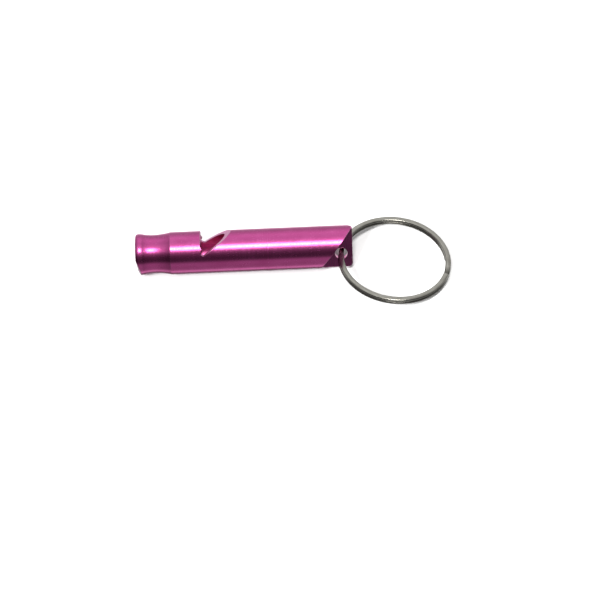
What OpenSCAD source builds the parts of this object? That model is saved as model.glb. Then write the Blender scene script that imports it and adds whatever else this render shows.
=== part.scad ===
// Pea-less tube whistle with a split key ring.
// +X runs along the tube from the mouth end to the tail, +Z is up, and the
// origin is on the tube's axis at the middle of the plain barrel.
// Angles around the tube are elevations: 0 points along -Y, 90 points up (+Z).

/* [Tube] */
// Outside diameter of the plain barrel
body_d = 9; // [8.6:0.1:10]
// Length of the turned tube from mouth end to tail
body_l = 45.8; // [45:0.1:48]
// Diameter of the sound chamber's bore
bore_d = 7.2; // [6.8:0.1:7.4]
// Depth of the bore from the mouth end, without its drill point
bore_l = 36.2; // [30:0.1:36.6]
// Chamfer around the tail end's rim
tail_chamfer = 0.3; // [0.1:0.05:0.5]

/* [Mouth end] */
// Diameter of the rounded bead at the lips
lip_d = 8.75; // [8.5:0.05:8.8]
// Distance of the bead's crest from the mouth end
bead_x = 0.8; // [0.6:0.05:1]
// Distance at which the bead's curve turns into the waist's
dip_x = 1.6; // [1.3:0.05:2]
// Diameter of the waist at its narrowest
waist_d = 8.1; // [7.9:0.05:8.3]
// Distance of the narrowest point from the mouth end
waist_x = 3.7; // [3.5:0.1:4.2]
// Distance of the waist's far shoulder from the mouth end
waist_end = 7.3; // [7.2:0.1:8]
// Elevation of the bevel under the mouth end
bevel_dir = -23; // [-40:1:0]
// Depth of the bevel along the tube, at the rim
bevel_l = 0.95; // [0.5:0.05:1.2]
// Width of the bevel across the end face
bevel_w = 2; // [1:0.1:2.5]

/* [Window] */
// Elevation that the window and the windway face
window_dir = 120; // [105:1:130]
// Distance of the window's straight wall from the mouth end
window_x = 13.75; // [13:0.05:15]
// Depth below the tube's surface at which the ramp's plane meets the straight wall
window_depth = 4.2; // [3.6:0.05:4.4]
// Length of the ramp from the straight wall to the surface
ramp_l = 6.4; // [5.5:0.05:7]
// Radius left by the cutter between the straight wall and the ramp
cutter_r = 0.6; // [0.3:0.05:0.8]
// Height of the windway between the plug's flat and the bore
windway_h = 1; // [0.6:0.05:1.4]

/* [Tail tab] */
// Elevation that the tab's near face looks towards
tab_dir = 28; // [24:1:32]
// Thickness of the flat tab at the tail
tab_t = 1.3; // [1:0.05:2]
// Distance along the tube where the tab's shoulder crosses the axis
shoulder_x = 42.37; // [42:0.01:43]
// Extra length milled from the far side, so the ring clears it when folded back
far_relief = 0.45; // [0.35:0.05:0.8]
// Skew of the shoulder across the tab
shoulder_skew = 37.6; // [30:0.1:40]
// Lean of the shoulder away from square
shoulder_lean = 8.3; // [0:0.1:12]
// Diameter of the key ring's cross hole
hole_d = 2.6; // [2.6:0.05:2.8]
// Distance of the cross hole from the tail end
hole_end = 2.4; // [2.2:0.05:2.6]
// Offset of the cross hole from the tube's axis, away from the window
hole_off = 1.4; // [1.2:0.05:1.5]
// Width of the small chamfer around the cross hole
hole_chamfer = 0.1; // [0.05:0.05:0.15]
// Radius of the tab's outer corner
corner_r = 1; // [0.5:0.1:1.2]

/* [Split ring] */
// Outside diameter of the split ring
ring_od = 24; // [23:0.1:25]
// Width of the flat wire, across the ring
wire_w = 1.2; // [1:0.05:1.2]
// Height of one coil of the wire
wire_h = 0.7; // [0.6:0.05:0.72]
// Gap between the two coils
coil_gap = 0.05; // [0.04:0.01:0.08]
// Angle over which the wire climbs from one coil to the other
jog_a = 24; // [18:1:30]
// Turn of the ring about the vertical, seen from above
ring_yaw = -8.3; // [-12:0.1:-4]
// Tilt of the ring along its diameter through the hole
ring_tilt = 4; // [2:0.1:8]

/* [Hidden] */
$fn = 96;
e = 0.02;
body_r = body_d / 2;
bore_r = bore_d / 2;
// Origin: middle of the plain barrel, between the ramp and the tab's shoulder
ref_x = 29;
hole_x = body_l - hole_end;
waist_r = waist_d / 2;
lip_r = lip_d / 2;
// How far the end face's rim lies inside the bead's crest
rim_drop = 0.16;
// Steepest slope between the bead and the waist
dip_s = 2 * (lip_r - waist_r) / (waist_x - bead_x);
// Outside radius at the distance x from the mouth end: bead, waist, then a flare up to the barrel's shoulder
function turned(x) =
    x < bead_x ? lip_r - rim_drop * pow(1 - x / bead_x, 2) :
    x < dip_x ? lip_r - dip_s * pow(x - bead_x, 2) / (2 * (dip_x - bead_x)) :
    x < waist_x ? waist_r + dip_s * pow(waist_x - x, 2) / (2 * (waist_x - dip_x)) :
    waist_r + (body_r - 0.04 - waist_r) * pow((x - waist_x) / (waist_end - waist_x), 2);
profile = concat(
    [[0, 0], [0, turned(0) - 0.08], [0.08, turned(0.08)]],
    [for (i = [1:3]) let (x = 0.08 + (bead_x - 0.08) * i / 3) [x, turned(x)]],
    [for (i = [1:4]) let (x = bead_x + (dip_x - bead_x) * i / 4) [x, turned(x)]],
    [for (i = [1:8]) let (x = dip_x + (waist_x - dip_x) * i / 8) [x, turned(x)]],
    [for (i = [1:12]) let (x = waist_x + (waist_end - waist_x) * i / 12) [x, turned(x)]],
    [[waist_end + 0.12, body_r],
     [body_l - tail_chamfer, body_r], [body_l, body_r - tail_chamfer], [body_l, 0]]);
ring_r = ring_od / 2;
wire_r = ring_r - wire_w / 2;
stack_h = 2 * wire_h + coil_gap;
level = (wire_h + coil_gap) / 2;
wire_c = 0.16;
// Centre of the cross hole in the object's own frame
hole_pos = [hole_x - ref_x, -hole_off * cos(tab_dir - 90), hole_off * sin(tab_dir - 90)];
// The ring drops about the hole until its lowest point is level with the bottom of the barrel
function tilt_n(d) = cos(ring_tilt) * cos(d);
function ring_low(d) = hole_pos[2] - wire_r * sin(d) * cos(ring_tilt)
    - ring_r * sqrt(1 - pow(tilt_n(d), 2)) - stack_h / 2 * tilt_n(d);
function drop(lo, hi, n) = n == 0 ? (lo + hi) / 2 :
    let (m = (lo + hi) / 2) ring_low(m) > -body_r ? drop(m, hi, n - 1) : drop(lo, m, n - 1);
ring_drop = drop(0, 15, 20);

// Turns +Z to the elevation a around the tube
module facing(a) rotate([90 - a, 0, 0]) children();

// The tube's own lengths start at the mouth end
module from_mouth() translate([-ref_x, 0, 0]) children();

module turned_blank() rotate([90, 0, 90]) rotate_extrude() polygon([for (p = profile) [p[1], p[0]]]);

module bore() union() {
    translate([-1, 0, 0]) rotate([0, 90, 0]) cylinder(h = bore_l + 1, r = bore_r);
    translate([bore_l - e, 0, 0]) rotate([0, 90, 0]) cylinder(h = bore_r * 0.6, r1 = bore_r, r2 = 0.01);
}

// Wedge with a straight wall towards the mouth and a ramp towards the tail, the cutter's radius between them
ramp_a = atan2(window_depth, ramp_l);
cutter_x = window_x + cutter_r;
cutter_z = body_r - window_depth + cutter_r * (tan(ramp_a) + 1 / cos(ramp_a));
module window_cut() facing(window_dir)
    translate([0, body_d, 0]) rotate([90, 0, 0]) linear_extrude(2 * body_d) polygon(concat(
        [[window_x, body_r + 2]],
        [for (i = [0:8]) let (a = 180 + (90 + ramp_a) * i / 8) [cutter_x + cutter_r * cos(a), cutter_z + cutter_r * sin(a)]],
        [[window_x + ramp_l * (window_depth + 2) / window_depth, body_r + 2]]));

// Comfort bevel under the mouth end, cut through tube and plug alike
module mouth_bevel() facing(bevel_dir)
    translate([0, 0, lip_r - bevel_w]) rotate([0, atan2(bevel_l, bevel_w), 0])
        translate([-6, -10, -4]) cube([6, 20, 20]);

// One side of the tail milled away, down to the tab and up to the skewed shoulder
module tab_cut(x) intersection() {
    translate([x - 12, -10, tab_t / 2]) cube([24, 20, 10]);
    translate([x, 0, 0]) rotate([0, -shoulder_lean, -shoulder_skew])
        translate([0, -20, -20]) cube([20, 40, 40]);
}

module cross_hole() translate([hole_x, -hole_off, 0]) {
    cylinder(h = 12, d = hole_d, center = true);
    for (s = [0, 1]) mirror([0, 0, s]) translate([0, 0, tab_t / 2 - hole_chamfer])
        cylinder(h = hole_chamfer * 2, r1 = hole_d / 2, r2 = hole_d / 2 + hole_chamfer * 2);
}

// Rounds the tab's outer corner on the side away from the window
module corner_cut() translate([body_l - corner_r, -body_r + 0.05 + corner_r, -8]) linear_extrude(16)
    difference() {
        translate([0, -corner_r - 2]) square([corner_r + 2, corner_r + 2]);
        circle(r = corner_r);
    }

module whistle_body() color([0.78, 0.31, 0.59]) from_mouth() difference() {
    turned_blank();
    bore();
    window_cut();
    mouth_bevel();
    facing(tab_dir) {
        for (s = [0, 1]) mirror([0, 0, s]) tab_cut(shoulder_x - s * far_relief);
        cross_hole();
        corner_cut();
    }
}

// Block pressed into the mouth end, with the flat that leaves the windway
module fipple_plug() color([0.66, 0.24, 0.5]) from_mouth() difference() {
    rotate([0, 90, 0]) cylinder(h = window_x, r = bore_r);
    facing(window_dir) translate([-1, -body_r, bore_r - windway_h]) cube([window_x + 2, body_d, body_r]);
    mouth_bevel();
}

// Section of the flat wire, its corners broken
module wire_section() polygon([
    [-wire_w / 2 + wire_c, -wire_h / 2], [wire_w / 2 - wire_c, -wire_h / 2],
    [wire_w / 2, -wire_h / 2 + wire_c], [wire_w / 2, wire_h / 2 - wire_c],
    [wire_w / 2 - wire_c, wire_h / 2], [-wire_w / 2 + wire_c, wire_h / 2],
    [-wire_w / 2, wire_h / 2 - wire_c], [-wire_w / 2, -wire_h / 2 + wire_c]]);

module coil(z) translate([0, 0, z]) rotate([0, 0, jog_a / 2])
    rotate_extrude(angle = 360 - jog_a, $fn = 180) translate([wire_r, 0]) wire_section();

// The jog's own section is a hair smaller, and its ends run a short way into the coils
jog_in = 0.02;
jog_over = 1.5;
jog_steps = 8;
jog_section = [
    [-wire_w / 2 + wire_c, -wire_h / 2 + jog_in], [wire_w / 2 - wire_c, -wire_h / 2 + jog_in],
    [wire_w / 2 - jog_in, -wire_h / 2 + wire_c], [wire_w / 2 - jog_in, wire_h / 2 - wire_c],
    [wire_w / 2 - wire_c, wire_h / 2 - jog_in], [-wire_w / 2 + wire_c, wire_h / 2 - jog_in],
    [-wire_w / 2 + jog_in, wire_h / 2 - wire_c], [-wire_w / 2 + jog_in, -wire_h / 2 + wire_c]];
jog_angles = concat([-jog_a / 2 - jog_over],
    [for (i = [0:jog_steps]) -jog_a / 2 + jog_a * i / jog_steps], [jog_a / 2 + jog_over]);
function jog_t(a) = max(0, min(1, a / jog_a + 0.5));
function jog_z(t) = level * (t < 0.5 ? 4 * pow(t, 2) - 1 : 1 - 4 * pow(1 - t, 2));

// The length of wire that climbs from the lower coil to the upper one
module jog() let (n = len(jog_angles) - 1) polyhedron(
    points = [for (a = jog_angles) for (p = jog_section)
        [(wire_r + p[0]) * cos(a), (wire_r + p[0]) * sin(a), p[1] + jog_z(jog_t(a))]],
    faces = concat(
        [[for (k = [7:-1:0]) k]],
        [for (i = [0:n - 1]) for (k = [0:7]) let (m = (k + 1) % 8) [8 * i + k, 8 * i + m + 8, 8 * i + k + 8]],
        [for (i = [0:n - 1]) for (k = [0:7]) let (m = (k + 1) % 8) [8 * i + k, 8 * i + m, 8 * i + m + 8]],
        [[for (k = [0:7]) 8 * n + k]]));

// One length of wire wound in two coils
module split_ring() color([0.62, 0.61, 0.59])
    translate(hole_pos) rotate([0, 0, ring_yaw]) rotate([-ring_tilt, 0, 0]) rotate([0, ring_drop, 0])
        translate([wire_r, 0, 0]) union() {
            coil(-level);
            coil(level);
            jog();
        }

whistle_body();
fipple_plug();
split_ring();
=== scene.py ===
import math

import bpy
import numpy as np
from mathutils import Matrix, Vector


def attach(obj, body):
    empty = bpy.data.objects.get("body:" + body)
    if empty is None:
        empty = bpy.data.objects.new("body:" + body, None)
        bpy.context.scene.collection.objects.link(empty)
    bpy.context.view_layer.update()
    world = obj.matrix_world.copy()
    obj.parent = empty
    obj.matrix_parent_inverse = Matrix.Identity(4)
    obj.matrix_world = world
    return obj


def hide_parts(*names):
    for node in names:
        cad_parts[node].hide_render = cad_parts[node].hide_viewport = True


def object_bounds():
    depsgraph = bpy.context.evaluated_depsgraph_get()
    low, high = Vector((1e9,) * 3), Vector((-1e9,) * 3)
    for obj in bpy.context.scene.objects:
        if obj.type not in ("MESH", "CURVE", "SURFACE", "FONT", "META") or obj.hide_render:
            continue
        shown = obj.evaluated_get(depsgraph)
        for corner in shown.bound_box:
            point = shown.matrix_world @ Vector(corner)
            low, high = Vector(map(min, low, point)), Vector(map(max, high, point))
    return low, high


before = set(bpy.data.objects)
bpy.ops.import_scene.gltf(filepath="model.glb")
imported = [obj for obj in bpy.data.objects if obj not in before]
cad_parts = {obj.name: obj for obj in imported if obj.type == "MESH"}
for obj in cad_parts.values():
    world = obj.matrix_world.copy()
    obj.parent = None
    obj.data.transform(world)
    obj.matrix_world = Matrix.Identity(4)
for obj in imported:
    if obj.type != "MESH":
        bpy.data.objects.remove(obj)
cad_lo, cad_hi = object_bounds()
MM = 0.001

# ---------------------------------------------------------------- the object's sizes, in millimetres
REF_X = 29.0            # the row's origin, measured from the mouth end
BODY_R, BODY_L = 4.5, 45.8
BORE_R, BORE_L = 3.6, 36.2
LIP_R, WAIST_R, BEAD_X, DIP_X, WAIST_X, WAIST_END, RIM_DROP = 4.375, 4.05, 0.8, 1.6, 3.7, 7.3, 0.16
WINDOW_DIR, WINDOW_X, WINDOW_DEPTH, RAMP_L, CUTTER_R, WINDWAY_H = 120.0, 13.75, 4.2, 6.4, 0.6, 1.0
BEVEL_DIR, BEVEL_L, BEVEL_W = -23.0, 0.95, 2.0
TAB_DIR = 28.0
TAB_T, SHOULDER_X, FAR_RELIEF, SKEW, LEAN = 1.3, 42.37, 0.45, 37.6, 8.3
HOLE_R, HOLE_X, HOLE_OFF, CORNER_R = 1.3, 43.4, 1.4, 1.0
TAIL_CHAMFER = 0.3


def direction(a):
    """Y and Z of the elevation a around the tube: 0 along -Y, 90 up."""
    return -math.cos(math.radians(a)), math.sin(math.radians(a))


W_Y, W_Z = direction(WINDOW_DIR)
T_Y, T_Z = direction(TAB_DIR)
V_Y, V_Z = direction(TAB_DIR + 90)
B_Y, B_Z = direction(BEVEL_DIR)


# ---------------------------------------------------------------- solids as distance fields
def rmax(a, b, r):
    """Both solids at once, the edge between them rounded to radius r."""
    return np.minimum(np.maximum(a, b), -r) + np.hypot(np.maximum(a + r, 0), np.maximum(b + r, 0))


def rmin(a, b, r):
    return -rmax(-a, -b, r)


_dip = 2 * (LIP_R - WAIST_R) / (WAIST_X - BEAD_X)
_flare = BODY_R - 0.03 - WAIST_R


def turned(x):
    """Outside radius along the mouth end: bead, waist, then the flare up to the barrel's shoulder."""
    bead = LIP_R - RIM_DROP * (1 - np.minimum(x, BEAD_X) / BEAD_X) ** 2
    dip = LIP_R - _dip * (x - BEAD_X) ** 2 / (2 * (DIP_X - BEAD_X))
    waist = WAIST_R + _dip * (WAIST_X - x) ** 2 / (2 * (WAIST_X - DIP_X))
    flare = WAIST_R + _flare * ((x - WAIST_X) / (WAIST_END - WAIST_X)) ** 2
    return np.select([x < BEAD_X, x < DIP_X, x < WAIST_X], [bead, dip, waist], flare)


_px = np.linspace(0.0, WAIST_END - 0.1, 400)
_pr = turned(_px)
_step = np.linspace(0, 1, 16)[1:]
_r0, _s0 = _pr[-1], 2 * _flare / (WAIST_END - WAIST_X) * 0.25
_px = np.concatenate([[-2.0], _px, WAIST_END - 0.1 + 0.22 * _step, [BODY_L + 3]])
_pr = np.concatenate([[_pr[0]], _pr, _r0 + (BODY_R - 0.003 - _r0) * (1.45 * _step - 0.0 * _step ** 2 - 0.45 * _step ** 3), [BODY_R - 0.003]])
_slope = np.gradient(_pr, _px)


def waisted(x, rho):
    """Signed distance to the turned outside."""
    r = np.interp(x, _px, _pr)
    s = np.interp(x, _px, _slope)
    return (rho - r) / np.sqrt(1 + s * s)


def cut_fields(x, y, z):
    """The milled faces: the window, the two sides of the tail and the mouth bevel, each negative where metal stays."""
    w = y * W_Y + z * W_Z
    v = y * V_Y + z * V_Z
    t = y * T_Y + z * T_Z
    b = y * B_Y + z * B_Z
    length = math.hypot(RAMP_L, WINDOW_DEPTH)
    wall = x - WINDOW_X
    ramp = (-(x - WINDOW_X) * WINDOW_DEPTH + (w - (BODY_R - WINDOW_DEPTH)) * RAMP_L) / length
    # the cutter's radius: outside its circle, in the corner between wall and ramp, metal stays
    a = math.atan2(WINDOW_DEPTH, RAMP_L)
    cx = WINDOW_X + CUTTER_R
    cw = BODY_R - WINDOW_DEPTH + CUTTER_R * (math.tan(a) + 1 / math.cos(a))
    round_in = CUTTER_R - np.hypot(x - cx, w - cw)
    window = np.where(((x - cx) < 0) & (((x - cx) * math.cos(a) + (w - cw) * math.sin(a)) < 0), round_in, np.minimum(wall, ramp))
    beta = math.atan2(BEVEL_L, BEVEL_W)
    bevel = -(math.cos(beta) * x - math.sin(beta) * (b - (LIP_R - BEVEL_W)))
    cl, sl, cs, ss = (f(math.radians(a)) for a, f in ((LEAN, math.cos), (LEAN, math.sin), (SKEW, math.cos), (SKEW, math.sin)))
    near = cl * cs * (x - SHOULDER_X) - cl * ss * v + sl * t
    far = cl * cs * (x - SHOULDER_X + FAR_RELIEF) - cl * ss * v - sl * t
    tab_near = rmin(t - TAB_T / 2, near, 0.12)
    tab_far = rmin(-t - TAB_T / 2, far, 0.12)
    return window, bevel, tab_near, tab_far, v, t


def tube(x, y, z):
    rho = np.hypot(y, z)
    window, bevel, tab_near, tab_far, v, t = cut_fields(x, y, z)
    end = rmax(x - BODY_L, -(BODY_R - 0.05) - v, CORNER_R)
    chamfer = (rho + x - (BODY_R + BODY_L - TAIL_CHAMFER)) / math.sqrt(2)
    f = waisted(x, rho)
    f = rmax(f, chamfer, 0.06)
    f = rmax(f, end, 0.06)
    f = rmax(f, -x, 0.17)
    cone = (x - BORE_L) * 0.8575 + (rho - BORE_R) * 0.5145
    bore = np.maximum(rho - BORE_R, cone)
    f = rmax(f, -bore, 0.05)
    f = rmax(f, window, 0.055)
    f = rmax(f, bevel, 0.07)
    f = rmax(f, tab_near, 0.075)
    f = rmax(f, tab_far, 0.075)
    hole = HOLE_R - np.hypot(x - HOLE_X, v + HOLE_OFF)
    return rmax(f, hole, 0.12)


def block(x, y, z):
    rho = np.hypot(y, z)
    w = y * W_Y + z * W_Z
    bevel = cut_fields(x, y, z)[1]
    f = rmax(rho - (BORE_R - 0.004), w - (BORE_R - WINDWAY_H), 0.06)
    f = rmax(f, x - WINDOW_X, 0.06)
    f = rmax(f, 0.012 - x, 0.07)
    return rmax(f, bevel + 0.012, 0.06)


# ---------------------------------------------------------------- from field to mesh
def net(f, lo, hi, h):
    """A closed quad mesh round the field's zero surface: one vertex in each cell that the surface crosses."""
    lo, hi = np.array(lo, float), np.array(hi, float)
    n = np.ceil((hi - lo) / h).astype(int) + 1
    ax = [lo[i] + h * np.arange(n[i]) for i in range(3)]
    F = np.empty(n, np.float32)
    for i in range(0, n[0], 40):
        F[i:i + 40] = f(*np.meshgrid(ax[0][i:i + 40], ax[1], ax[2], indexing="ij"))
    S = F < 0
    corners = [(a, b, c) for a in (0, 1) for b in (0, 1) for c in (0, 1)]
    total = np.zeros(n - 1, np.uint8)
    for a, b, c in corners:
        total += S[a:n[0] - 1 + a, b:n[1] - 1 + b, c:n[2] - 1 + c]
    cell = (total > 0) & (total < 8)
    ids = np.full(cell.shape, -1, np.int64)
    ids[cell] = np.arange(cell.sum())
    I = np.argwhere(cell)
    acc, cnt = np.zeros((len(I), 3)), np.zeros(len(I))
    for p in corners:
        for k in range(3):
            if p[k] == 0:
                q = list(p)
                q[k] = 1
                f0 = F[I[:, 0] + p[0], I[:, 1] + p[1], I[:, 2] + p[2]].astype(float)
                f1 = F[I[:, 0] + q[0], I[:, 1] + q[1], I[:, 2] + q[2]].astype(float)
                m = (f0 < 0) != (f1 < 0)
                at = np.tile(np.array(p, float), (len(I), 1))
                at[m, k] = f0[m] / (f0[m] - f1[m])
                acc[m] += at[m]
                cnt[m] += 1
    V = lo + h * (I + acc / cnt[:, None])
    faces = []
    for k in range(3):
        b, c = (k + 1) % 3, (k + 2) % 3
        cut0 = [slice(1, -1)] * 3
        cut1 = [slice(1, -1)] * 3
        cut0[k], cut1[k] = slice(0, -1), slice(1, None)
        s0, s1 = S[tuple(cut0)], S[tuple(cut1)]
        at = np.argwhere(s0 != s1)
        out = s0[s0 != s1]
        at[:, b] += 1
        at[:, c] += 1
        ring = []
        for db, dc in ((1, 1), (0, 1), (0, 0), (1, 0)):
            q = at.copy()
            q[:, b] -= db
            q[:, c] -= dc
            ring.append(ids[q[:, 0], q[:, 1], q[:, 2]])
        quad = np.stack(ring, 1)
        quad[~out] = quad[~out][:, ::-1]
        faces.append(quad)
    return V, np.concatenate(faces)


def slope(f, P, e):
    g = np.empty_like(P)
    for k in range(3):
        d = np.zeros(3)
        d[k] = e
        g[:, k] = (f(*(P + d).T) - f(*(P - d).T)) / (2 * e)
    return g


def onto(f, P, steps, reach):
    for _ in range(steps):
        g = slope(f, P, 0.002)
        m = -(f(*P.T) / np.maximum((g * g).sum(1), 0.2))[:, None] * g
        length = np.linalg.norm(m, axis=1)
        P = P + m * np.minimum(1, reach / np.maximum(length, 1e-9))[:, None]
    return P


def relaxed(f, P, Q, rounds):
    """Evens out the mesh along its own surface."""
    n = len(P)
    i, j = Q.ravel(), np.roll(Q, -1, 1).ravel()
    for _ in range(rounds):
        s, c = np.zeros((n, 3)), np.zeros(n)
        for a, b in ((i, j), (j, i)):
            for k in range(3):
                s[:, k] += np.bincount(a, P[b, k], n)
            c += np.bincount(a, minlength=n)
        move = s / np.maximum(c, 1)[:, None] - P
        g = slope(f, P, 0.004)
        g /= np.maximum(np.linalg.norm(g, axis=1), 1e-9)[:, None]
        move -= (move * g).sum(1)[:, None] * g
        P = onto(f, P + 0.5 * move, 2, 0.05)
    return P


def mesh_of(name, V, F):
    me = bpy.data.meshes.new(name)
    F = np.asarray(F)
    me.vertices.add(len(V))
    me.vertices.foreach_set("co", np.asarray(V, np.float32).ravel())
    me.loops.add(F.size)
    me.loops.foreach_set("vertex_index", F.ravel().astype(np.int32))
    me.polygons.add(len(F))
    me.polygons.foreach_set("loop_start", np.arange(0, F.size, F.shape[1], dtype=np.int32))
    me.update(calc_edges=True)
    me.validate()
    return me


def coords(me):
    co = np.zeros(len(me.vertices) * 3, np.float32)
    me.vertices.foreach_get("co", co)
    return co.reshape(-1, 3).astype(float)


def put_values(me, name, values):
    a = me.attributes.get(name) or me.attributes.new(name, "FLOAT", "POINT")
    a.data.foreach_set("value", np.asarray(values, np.float32))


def smooth(me):
    me.polygons.foreach_set("use_smooth", np.ones(len(me.polygons), bool))


def link(name, me, material, body, slot, *nodes):
    ob = bpy.data.objects.new(name, me)
    bpy.context.scene.collection.objects.link(ob)
    me.materials.append(material)
    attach(ob, body)
    if nodes:
        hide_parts(*nodes)
    return ob


def from_field(name, f, lo, hi, h, keep):
    """The field's surface: netted, evened out, thinned where it is flat, then put back on the field with its exact normals."""
    V, Q = net(f, lo, hi, h)
    V = relaxed(f, onto(f, V, 3, h), Q, 3)
    me = mesh_of(name, V, Q)
    ob = bpy.data.objects.new(name + ".raw", me)
    bpy.context.scene.collection.objects.link(ob)
    thin = ob.modifiers.new("thin", "DECIMATE")
    thin.ratio = keep
    dg = bpy.context.evaluated_depsgraph_get()
    out = bpy.data.meshes.new_from_object(ob.evaluated_get(dg))
    bpy.data.objects.remove(ob)
    bpy.data.meshes.remove(me)
    out.name = name
    P = onto(f, coords(out), 3, h)
    g = slope(f, P, 0.006)
    g /= np.maximum(np.linalg.norm(g, axis=1), 1e-9)[:, None]
    lap = -6 * f(*P.T)
    e = 0.03
    for k in range(3):
        d = np.zeros(3)
        d[k] = e
        lap += f(*(P + d).T) + f(*(P - d).T)
    lap /= e * e
    window, bevel, tab_near, tab_far, w, t = cut_fields(*P.T)
    milled = np.clip((np.maximum.reduce([window, bevel, tab_near, tab_far]) + 0.04) / 0.04, 0, 1)
    M = (P - np.array([REF_X, 0, 0])) * MM
    out.vertices.foreach_set("co", M.astype(np.float32).ravel())
    put_values(out, "edge", np.clip(lap * 0.07, 0, 1))
    put_values(out, "milled", milled)
    rho = np.hypot(P[:, 1], P[:, 2])
    # where the drilled bore lies: it makes the bore rougher and paints its colour paler, painted light in the hollow
    put_values(out, "bore", np.clip((BORE_R + 0.05 - rho) / 0.05, 0, 1) * (P[:, 0] > WINDOW_X - 0.2) * (P[:, 0] < BORE_L + 3))
    smooth(out)
    out.normals_split_custom_set_from_vertices([tuple(v) for v in g])
    out.update()
    return out


# ---------------------------------------------------------------- materials
class Nodes:
    """Short hand for a node tree."""

    def __init__(self, name):
        self.m = bpy.data.materials.new(name)
        self.m.use_nodes = True
        self.t = self.m.node_tree
        self.t.nodes.clear()
        self.out = self.t.nodes.new("ShaderNodeOutputMaterial")
        self.p = self.t.nodes.new("ShaderNodeBsdfPrincipled")
        self.wire(self.p.outputs[0], self.out.inputs["Surface"])

    def wire(self, a, b):
        self.t.links.new(a, b)
        return b

    def set(self, node, key, value):
        if isinstance(value, bpy.types.NodeSocket):
            self.wire(value, node.inputs[key])
        elif value is not None:
            node.inputs[key].default_value = value

    def new(self, kind, **values):
        n = self.t.nodes.new("ShaderNode" + kind)
        for k, v in values.items():
            setattr(n, k, v)
        return n

    def coord(self):
        return self.new("TexCoord").outputs["Object"]

    def attr(self, name):
        return self.new("Attribute", attribute_name=name).outputs["Fac"]

    def scaled(self, vec, scale, rotation=(0, 0, 0)):
        n = self.new("Mapping")
        self.wire(vec, n.inputs["Vector"])
        n.inputs["Rotation"].default_value = rotation
        n.inputs["Scale"].default_value = scale
        return n.outputs[0]

    def dot(self, vec, axis):
        n = self.new("VectorMath", operation="DOT_PRODUCT")
        self.wire(vec, n.inputs[0])
        n.inputs[1].default_value = axis
        return n.outputs["Value"]

    def vector(self, x, y, z):
        n = self.new("CombineXYZ")
        for i, v in enumerate((x, y, z)):
            self.set(n, i, v)
        return n.outputs[0]

    def noise(self, vec, scale=1.0, detail=2.0, rough=0.5, distortion=0.0):
        n = self.new("TexNoise")
        self.wire(vec, n.inputs["Vector"])
        n.inputs["Scale"].default_value = scale
        n.inputs["Detail"].default_value = detail
        n.inputs["Roughness"].default_value = rough
        n.inputs["Distortion"].default_value = distortion
        return n.outputs["Fac"]

    def math(self, op, a, b=None, c=None, clamp=False):
        n = self.new("Math", operation=op, use_clamp=clamp)
        for i, v in enumerate((a, b, c)):
            self.set(n, i, v)
        return n.outputs[0]

    def range(self, v, a, b, c, d, smoothstep=False):
        n = self.new("MapRange", interpolation_type="SMOOTHSTEP" if smoothstep else "LINEAR")
        self.wire(v, n.inputs["Value"])
        for k, x in zip(("From Min", "From Max", "To Min", "To Max"), (a, b, c, d)):
            self.set(n, k, x)
        return n.outputs["Result"]

    def mix(self, fac, a, b, kind="RGBA", blend="MIX"):
        n = self.new("Mix", data_type=kind)
        if kind == "RGBA":
            n.blend_type = blend
        o = {"RGBA": 6, "FLOAT": 2}[kind]
        self.set(n, 0, fac)
        self.set(n, o, a)
        self.set(n, o + 1, b)
        return n.outputs[{"RGBA": 2, "FLOAT": 0}[kind]]

    def bump(self, height, strength, distance, normal=None):
        n = self.new("Bump")
        self.wire(height, n.inputs["Height"])
        n.inputs["Strength"].default_value = strength
        n.inputs["Distance"].default_value = distance
        if normal is not None:
            self.wire(normal, n.inputs["Normal"])
        return n.outputs[0]


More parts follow.
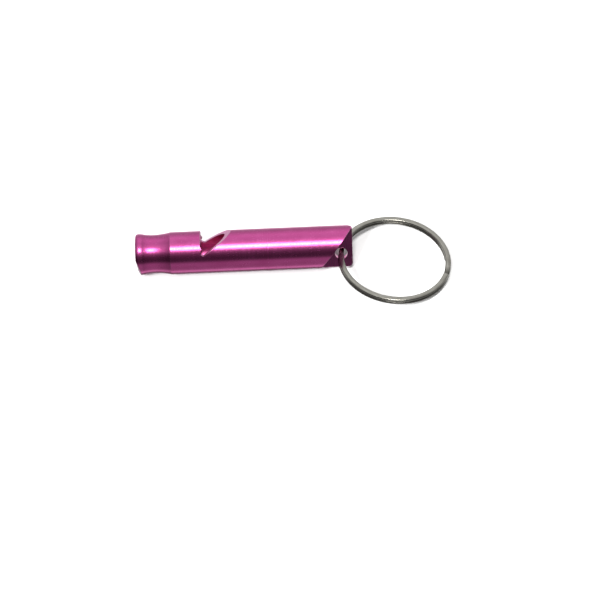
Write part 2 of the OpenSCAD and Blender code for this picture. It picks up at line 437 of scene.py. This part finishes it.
def anodised(name, base, deep, worn):
    """Dyed anodising on turned and milled aluminium: lathe lines round the tube, cutter marks on the flats, paler worn
    edges, and a bore whose colour is painted paler as painted light.
    """
    k = Nodes(name)
    at = k.coord()
    milled = k.attr("milled")
    bore = k.attr("bore")
    edge = k.attr("edge")
    # lathe lines: fine feed marks, broken up a little round the tube
    fine = k.noise(k.scaled(at, (9000, 55, 55)), 1.0, 3.0, 0.65)
    broad = k.noise(k.scaled(at, (2300, 30, 30)), 1.0, 2.0, 0.6)
    feed = k.math("ADD", k.math("MULTIPLY", fine, 0.55), k.math("MULTIPLY", broad, 0.45))
    # cutter marks on the milled faces run along the tail's skewed shoulder
    cs, ss = math.cos(math.radians(SKEW)), math.sin(math.radians(SKEW))
    across = k.dot(at, (cs, -ss * V_Y, -ss * V_Z))
    along = k.dot(at, (ss, cs * V_Y, cs * V_Z))
    marks = k.noise(k.vector(k.math("MULTIPLY", across, 5200.0), k.math("MULTIPLY", along, 260.0), 0.0), 1.0, 3.0, 0.6)
    height = k.mix(milled, feed, marks, "FLOAT")
    n = k.bump(height, 0.30, 0.000004)
    pits = k.noise(k.scaled(at, (14000, 14000, 14000)), 1.0, 2.0, 0.5)
    n = k.bump(pits, 0.08, 0.000002, n)
    k.wire(n, k.p.inputs["Normal"])
    # colour: the dye lies a little unevenly, deeper in the lines, thinner over edges
    patch = k.noise(k.scaled(at, (260, 420, 420)), 1.0, 3.0, 0.55)
    tone = k.mix(k.range(patch, 0.3, 0.7, 0.0, 1.0), deep, base)
    tone = k.mix(k.range(feed, 0.35, 0.68, 0.30, 0.0), tone, deep)
    rub = k.math("MULTIPLY", edge, k.range(k.noise(k.scaled(at, (900, 900, 900)), 1.0, 3.0, 0.6), 0.36, 0.62, 0.35, 1.0), clamp=True)
    # the cut faces took less dye; the bore is painted paler, painted light that brightens the hollow inside the tube
    tone = k.mix(k.math("MULTIPLY", milled, 0.6), tone, (0.48, 0.115, 0.32, 1))
    tone = k.mix(bore, tone, (0.90, 0.22, 0.48, 1))
    k.wire(k.mix(rub, tone, worn), k.p.inputs["Base Color"])
    # roughness: lathe lines catch more light here and there, fine handling scratches
    scratch = k.noise(k.scaled(at, (700, 9000, 9000), (0.5, 0.4, 0.9)), 1.0, 2.0, 0.6)
    r = k.range(feed, 0.3, 0.7, 0.17, 0.29)
    r = k.math("ADD", r, k.range(scratch, 0.62, 0.74, 0.0, 0.10))
    r = k.math("ADD", r, k.math("MULTIPLY", milled, 0.05))
    r = k.math("ADD", r, k.math("MULTIPLY", bore, 0.22))
    k.wire(r, k.p.inputs["Roughness"])
    k.p.inputs["Metallic"].default_value = 1.0
    k.p.inputs["Coat Weight"].default_value = 0.22
    k.p.inputs["Coat Roughness"].default_value = 0.27
    k.p.inputs["Coat IOR"].default_value = 1.6
    return k.m


def drawn_steel():
    """Drawn spring steel, nickel bright, with fine lines along the wire."""
    k = Nodes("ring_steel")
    s, u, seam_shade = k.attr("run"), k.attr("girth"), k.attr("seam_shade")
    lines = k.noise(k.vector(k.math("MULTIPLY", s, 0.16), k.math("MULTIPLY", u, 8.0), 0.0), 1.0, 2.0, 0.55)
    cloud = k.noise(k.vector(k.math("MULTIPLY", s, 0.5), k.math("MULTIPLY", u, 1.6), 5.0), 1.0, 2.0, 0.5)
    k.wire(k.bump(lines, 0.10, 0.000003), k.p.inputs["Normal"])
    tone = k.mix(k.range(cloud, 0.3, 0.7, 0.0, 1.0), (0.33, 0.32, 0.285, 1), (0.45, 0.44, 0.40, 1))
    tone = k.mix(k.range(lines, 0.52, 0.72, 0.0, 0.45), tone, (0.18, 0.17, 0.145, 1))
    # painted shade: the gap between the coils is painted dark
    tone = k.mix(k.math("MULTIPLY", seam_shade, 0.7), tone, (0.05, 0.048, 0.042, 1))
    k.wire(tone, k.p.inputs["Base Color"])
    k.wire(k.range(cloud, 0.3, 0.7, 0.16, 0.22), k.p.inputs["Roughness"])
    k.p.inputs["Metallic"].default_value = 1.0
    return k.m


MAGENTA = (0.62, 0.100, 0.345, 1)
DEEP = (0.53, 0.068, 0.275, 1)
WORN = (0.80, 0.38, 0.60, 1)
tube_finish = anodised("anodised_tube", MAGENTA, DEEP, WORN)
block_finish = anodised("anodised_block", (0.56, 0.08, 0.30, 1), (0.48, 0.055, 0.24, 1), (0.76, 0.34, 0.56, 1))
steel = drawn_steel()

# ---------------------------------------------------------------- the whistle
grid = 0.1
tube_mesh = from_field("whistle_tube", tube, (-0.35, -4.85, -4.85), (46.15, 4.85, 4.85), grid, 0.2)
tube_piece = link("whistle_tube", tube_mesh, tube_finish, "whistle", "anodised_body", "whistle_body")
block_mesh = from_field("fipple_block", block, (-0.35, -3.65, -3.65), (14.1, 3.65, 3.65), grid, 0.2)
block_piece = link("fipple_block", block_mesh, block_finish, "whistle", "anodised_plug", "fipple_plug")

# ---------------------------------------------------------------- the split ring
RING_R, WIRE_W, WIRE_H, GAP, JOG = 12.0, 1.2, 0.7, 0.05, 24.0
WIRE_R = RING_R - WIRE_W / 2
LEVEL = (WIRE_H + GAP) / 2
YAW, TILT = -8.3, 4.0
HOLE = np.array([HOLE_X - REF_X, -HOLE_OFF * V_Y, -HOLE_OFF * V_Z])


def turn(axis, deg):
    return np.array(Matrix.Rotation(math.radians(deg), 3, axis))


def lowest(drop):
    n = math.cos(math.radians(TILT)) * math.cos(math.radians(drop))
    return HOLE[2] - WIRE_R * math.sin(math.radians(drop)) * math.cos(math.radians(TILT)) - RING_R * math.sqrt(1 - n * n) - (LEVEL + WIRE_H / 2) * n


lo, hi = 0.0, 15.0
for _ in range(40):
    mid = (lo + hi) / 2
    lo, hi = (mid, hi) if lowest(mid) > -BODY_R else (lo, mid)
RING_M = turn("Z", YAW) @ turn("X", -TILT) @ turn("Y", (lo + hi) / 2)


def wire_outline(w, h, r, per_corner):
    """A flat wire's section, its corners rounded, counter-clockwise in (outward, up)."""
    pts = []
    for cx, cy, a0 in ((w / 2 - r, -h / 2 + r, -90), (w / 2 - r, h / 2 - r, 0), (-w / 2 + r, h / 2 - r, 90), (-w / 2 + r, -h / 2 + r, 180)):
        for i in range(per_corner + 1):
            a = math.radians(a0 + 90 * i / per_corner)
            pts.append((cx + r * math.cos(a), cy + r * math.sin(a)))
    return np.array(pts)


def split_ring():
    w, h = WIRE_W - 0.01, WIRE_H - 0.04
    level = LEVEL
    outline = wire_outline(w, h, 0.30, 7)
    start, stop = JOG / 2, 720 - JOG / 2
    th = np.arange(start, stop + 1e-6, 1.2)
    rows, run = [], []
    for a in th:
        t = min(1, max(0, (a - (360 - JOG / 2)) / JOG))
        z = level * (4 * t * t - 1 if t < 0.5 else 1 - 4 * (1 - t) ** 2)
        rows.append((a, z, 1.0))
        run.append(math.radians(a) * WIRE_R)
    # the two cut ends are slightly broken
    e = math.degrees(0.05 / WIRE_R)
    first, last = rows[0], rows[-1]
    rows = [(first[0], first[1], 0.86), (first[0] + e, first[1], 0.965), (first[0] + 2.4 * e, first[1], 1.0)] + rows[1:-1] + [(last[0] - 2.4 * e, last[1], 1.0), (last[0] - e, last[1], 0.965), (last[0], last[1], 0.86)]
    V, S, U, D = [], [], [], []
    n = len(outline)
    girth = np.concatenate([[0], np.cumsum(np.linalg.norm(np.diff(outline, axis=0), axis=1))])
    for a, z, k in rows:
        c, s = math.cos(math.radians(a)), math.sin(math.radians(a))
        for i, (o, up) in enumerate(outline):
            q = WIRE_R + o * k
            V.append((q * c, q * s, z + up * k))
            S.append(math.radians(a) * WIRE_R)
            U.append(girth[i])
            # how deep in the gap between the coils this point lies, for the painted shade there
            inner = h / 2 - up if z < 0 else up + h / 2
            D.append(min(1, max(0, (0.20 - inner) / 0.09)) * min(1, abs(z) / (0.9 * level)))
    m = len(rows)
    F = [(i * n + j, i * n + (j + 1) % n, (i + 1) * n + (j + 1) % n, (i + 1) * n + j) for i in range(m - 1) for j in range(n)]
    F = [tuple(reversed(f)) for f in F]
    me = bpy.data.meshes.new("split_ring_wire")
    P = np.array(V)
    P[:, 0] += WIRE_R
    P = (P @ RING_M.T + HOLE) * MM
    caps = [tuple(range(n)), tuple(reversed(range((m - 1) * n, m * n)))]
    me.from_pydata([tuple(p) for p in P], [], F + caps)
    me.update()
    put_values(me, "run", S)
    put_values(me, "girth", U)
    # painted shade: how deep each point lies in the gap between the coils
    put_values(me, "seam_shade", D)
    smooth(me)
    for p in me.polygons:
        if len(p.vertices) > 4:
            p.use_smooth = False
    return me


ring_mesh = split_ring()
ring_piece = link("split_ring_wire", ring_mesh, steel, "key_ring", "ring_steel", "split_ring")

# ---------------------------------------------------------------- floor, light, camera
floor_z = cad_lo.z - 0.00002


def sheet_of_paper():
    """A large pale sheet to stand on, its tone varying a hair."""
    n, half = 24, 1.6
    xs = np.linspace(-half, half, n + 1)
    V = [(x, y, floor_z) for y in xs for x in xs]
    F = [(j * (n + 1) + i, j * (n + 1) + i + 1, (j + 1) * (n + 1) + i + 1, (j + 1) * (n + 1) + i) for j in range(n) for i in range(n)]
    me = bpy.data.meshes.new("floor")
    me.from_pydata(V, [], F)
    ob = bpy.data.objects.new("floor", me)
    bpy.context.scene.collection.objects.link(ob)
    k = Nodes("pale_paper")
    tooth = k.noise(k.scaled(k.coord(), (1800, 1800, 1800)), 1.0, 3.0, 0.6)
    k.wire(k.mix(tooth, (0.80, 0.80, 0.80, 1), (0.83, 0.83, 0.825, 1)), k.p.inputs["Base Color"])
    k.p.inputs["Roughness"].default_value = 0.9
    k.p.inputs["Specular IOR Level"].default_value = 0.15
    me.materials.append(k.m)
    return ob


paper = sheet_of_paper()
paper.visible_glossy = False    # the metal mirrors the room below, which is as bright as the sheet


def softbox(name, elevation, azimuth, distance, wide, high, power, colour=(1, 1, 1)):
    """azimuth 0 stands on the camera's side, 90 towards +X."""
    data = bpy.data.lights.new(name, "AREA")
    data.shape = "RECTANGLE"
    data.size, data.size_y = wide, high
    data.energy = power
    data.color = colour
    ob = bpy.data.objects.new(name, data)
    e, a = math.radians(elevation), math.radians(azimuth)
    back = Vector((math.sin(a) * math.cos(e), -math.cos(a) * math.cos(e), math.sin(e)))
    ob.location = back * distance
    ob.rotation_mode = "QUATERNION"
    ob.rotation_quaternion = back.to_track_quat("Z", "Y")
    bpy.context.scene.collection.objects.link(ob)
    return ob


def lights_only(light, name, pieces):
    """The light falls on these pieces and nothing else."""
    c = bpy.data.collections.new(name)
    for piece in pieces:
        c.objects.link(piece)
    light.light_linking.receiver_collection = c


# one pair of soft boxes for the tube, another further round for the ring, so each shows its own highlight
on_tube = [tube_piece, block_piece, paper]
lights_only(softbox("key", 73, -4, 0.60, 0.15, 0.09, 0.56, (1.0, 0.985, 0.97)), "lit_by_key", on_tube)
lights_only(softbox("key_halo", 73, -4, 0.62, 0.20, 0.23, 0.80, (1.0, 0.985, 0.97)), "lit_by_halo", on_tube)
lights_only(softbox("ring_key", 67.5, 30, 0.60, 0.20, 0.20, 1.5, (1.0, 0.985, 0.96)), "lit_by_ring_key", [ring_piece])
for name, elevation, azimuth, power in (("fill_left", 44.6, -40, 9.5), ("fill_top", 76, 0, 3.0)):
    fill = softbox(name, elevation, azimuth, 0.80, 0.18, 0.18, power)
    fill.visible_glossy = False

world = bpy.data.worlds.new("studio")
bpy.context.scene.world = world
world.use_nodes = True
wt = world.node_tree
wt.nodes.clear()


def wnode(kind, **values):
    n = wt.nodes.new("ShaderNode" + kind)
    for k, v in values.items():
        setattr(n, k, v)
    return n


# A pale room: bright above and behind, dim in front where the photographer stands, with a grey table edge below.
# Each stop is an elevation in degrees (0 in front, 90 overhead, 180 behind, -90 below) and a brightness.
ROOM = [(-180, .52), (-168, .60), (-156, 1.20), (-130, .85), (-112, .42), (-98, .20), (-86, .20), (-78, .90), (-70, 1.15), (-62, .62), (-54, .42), (-40, .42), (-14, .46),
        (-7, .32), (-2, .15), (3, .08), (14, .07), (30, .10), (44, .20), (54, .50), (64, 1.0), (94, 1.10), (111, .92), (138, 1.05), (154, .80), (168, .62), (180, .55)]
w_out, w_bg, w_co = wnode("OutputWorld"), wnode("Background"), wnode("TexCoord")
w_sep = wnode("SeparateXYZ")
wt.links.new(w_co.outputs["Generated"], w_sep.inputs[0])
w_neg = wnode("Math", operation="MULTIPLY")
wt.links.new(w_sep.outputs["Y"], w_neg.inputs[0])
w_neg.inputs[1].default_value = -1.0
w_ang = wnode("Math", operation="ARCTAN2")
wt.links.new(w_sep.outputs["Z"], w_ang.inputs[0])
wt.links.new(w_neg.outputs[0], w_ang.inputs[1])
w_unit = wnode("MapRange")
wt.links.new(w_ang.outputs[0], w_unit.inputs["Value"])
for key, v in (("From Min", -math.pi), ("From Max", math.pi), ("To Min", 0.0), ("To Max", 1.0)):
    w_unit.inputs[key].default_value = v


def ramp(stops_at):
    n = wnode("ValToRGB")
    n.color_ramp.interpolation = "EASE"
    stops = n.color_ramp.elements
    while len(stops) > 1:
        stops.remove(stops[-1])
    stops[0].position = 0.0
    stops[0].color = (stops_at[0][1],) * 3 + (1,)
    for a, v in stops_at[1:]:
        e = stops.new((a + 180) / 360)
        e.color = (v, v, v, 1)
    wt.links.new(w_unit.outputs["Result"], n.inputs[0])
    return n


w_ramp = ramp(ROOM)
# and dimmer towards both ends of the tube
w_abs = wnode("Math", operation="ABSOLUTE")
wt.links.new(w_sep.outputs["X"], w_abs.inputs[0])
w_dim = wnode("MapRange")
wt.links.new(w_abs.outputs[0], w_dim.inputs["Value"])
for key, v in (("From Min", 0.10), ("From Max", 0.50), ("To Min", 0.0), ("To Max", -0.60)):
    w_dim.inputs[key].default_value = v
w_where = ramp([(-180, 0.0), (-120, 0.0), (-95, 1.0), (150, 1.0), (180, 0.0)])
w_str = wnode("Math", operation="MULTIPLY_ADD")
wt.links.new(w_dim.outputs["Result"], w_str.inputs[0])
wt.links.new(w_where.outputs["Color"], w_str.inputs[1])
w_str.inputs[2].default_value = 1.0
wt.links.new(w_str.outputs[0], w_bg.inputs["Strength"])
wt.links.new(w_ramp.outputs["Color"], w_bg.inputs["Color"])
wt.links.new(w_bg.outputs[0], w_out.inputs["Surface"])

scene = bpy.context.scene
scene.view_settings.view_transform = "Standard"
scene.view_settings.look = "None"
scene.view_settings.exposure = 0.0
scene.view_settings.gamma = 1.0

cam_data = bpy.data.cameras.new("camera")
cam_data.sensor_width = 36.0
cam_data.lens = 143.757
cam_data.dof.use_dof = False
cam_data.clip_start, cam_data.clip_end = 0.02, 20.0
cam = bpy.data.objects.new("camera", cam_data)
scene.collection.objects.link(cam)
R = Vector((0.99917, -0.03068, -0.02671))
U = Vector((0.04062, 0.78944, 0.61248))
back = R.cross(U).normalized()
U = back.cross(R).normalized()
cam.matrix_world = Matrix(((R.x, U.x, back.x, 0.006417), (R.y, U.y, back.y, -0.319758), (R.z, U.z, back.z, 0.394102), (0, 0, 0, 1)))
scene.camera = cam

bpy.context.view_layer.update()
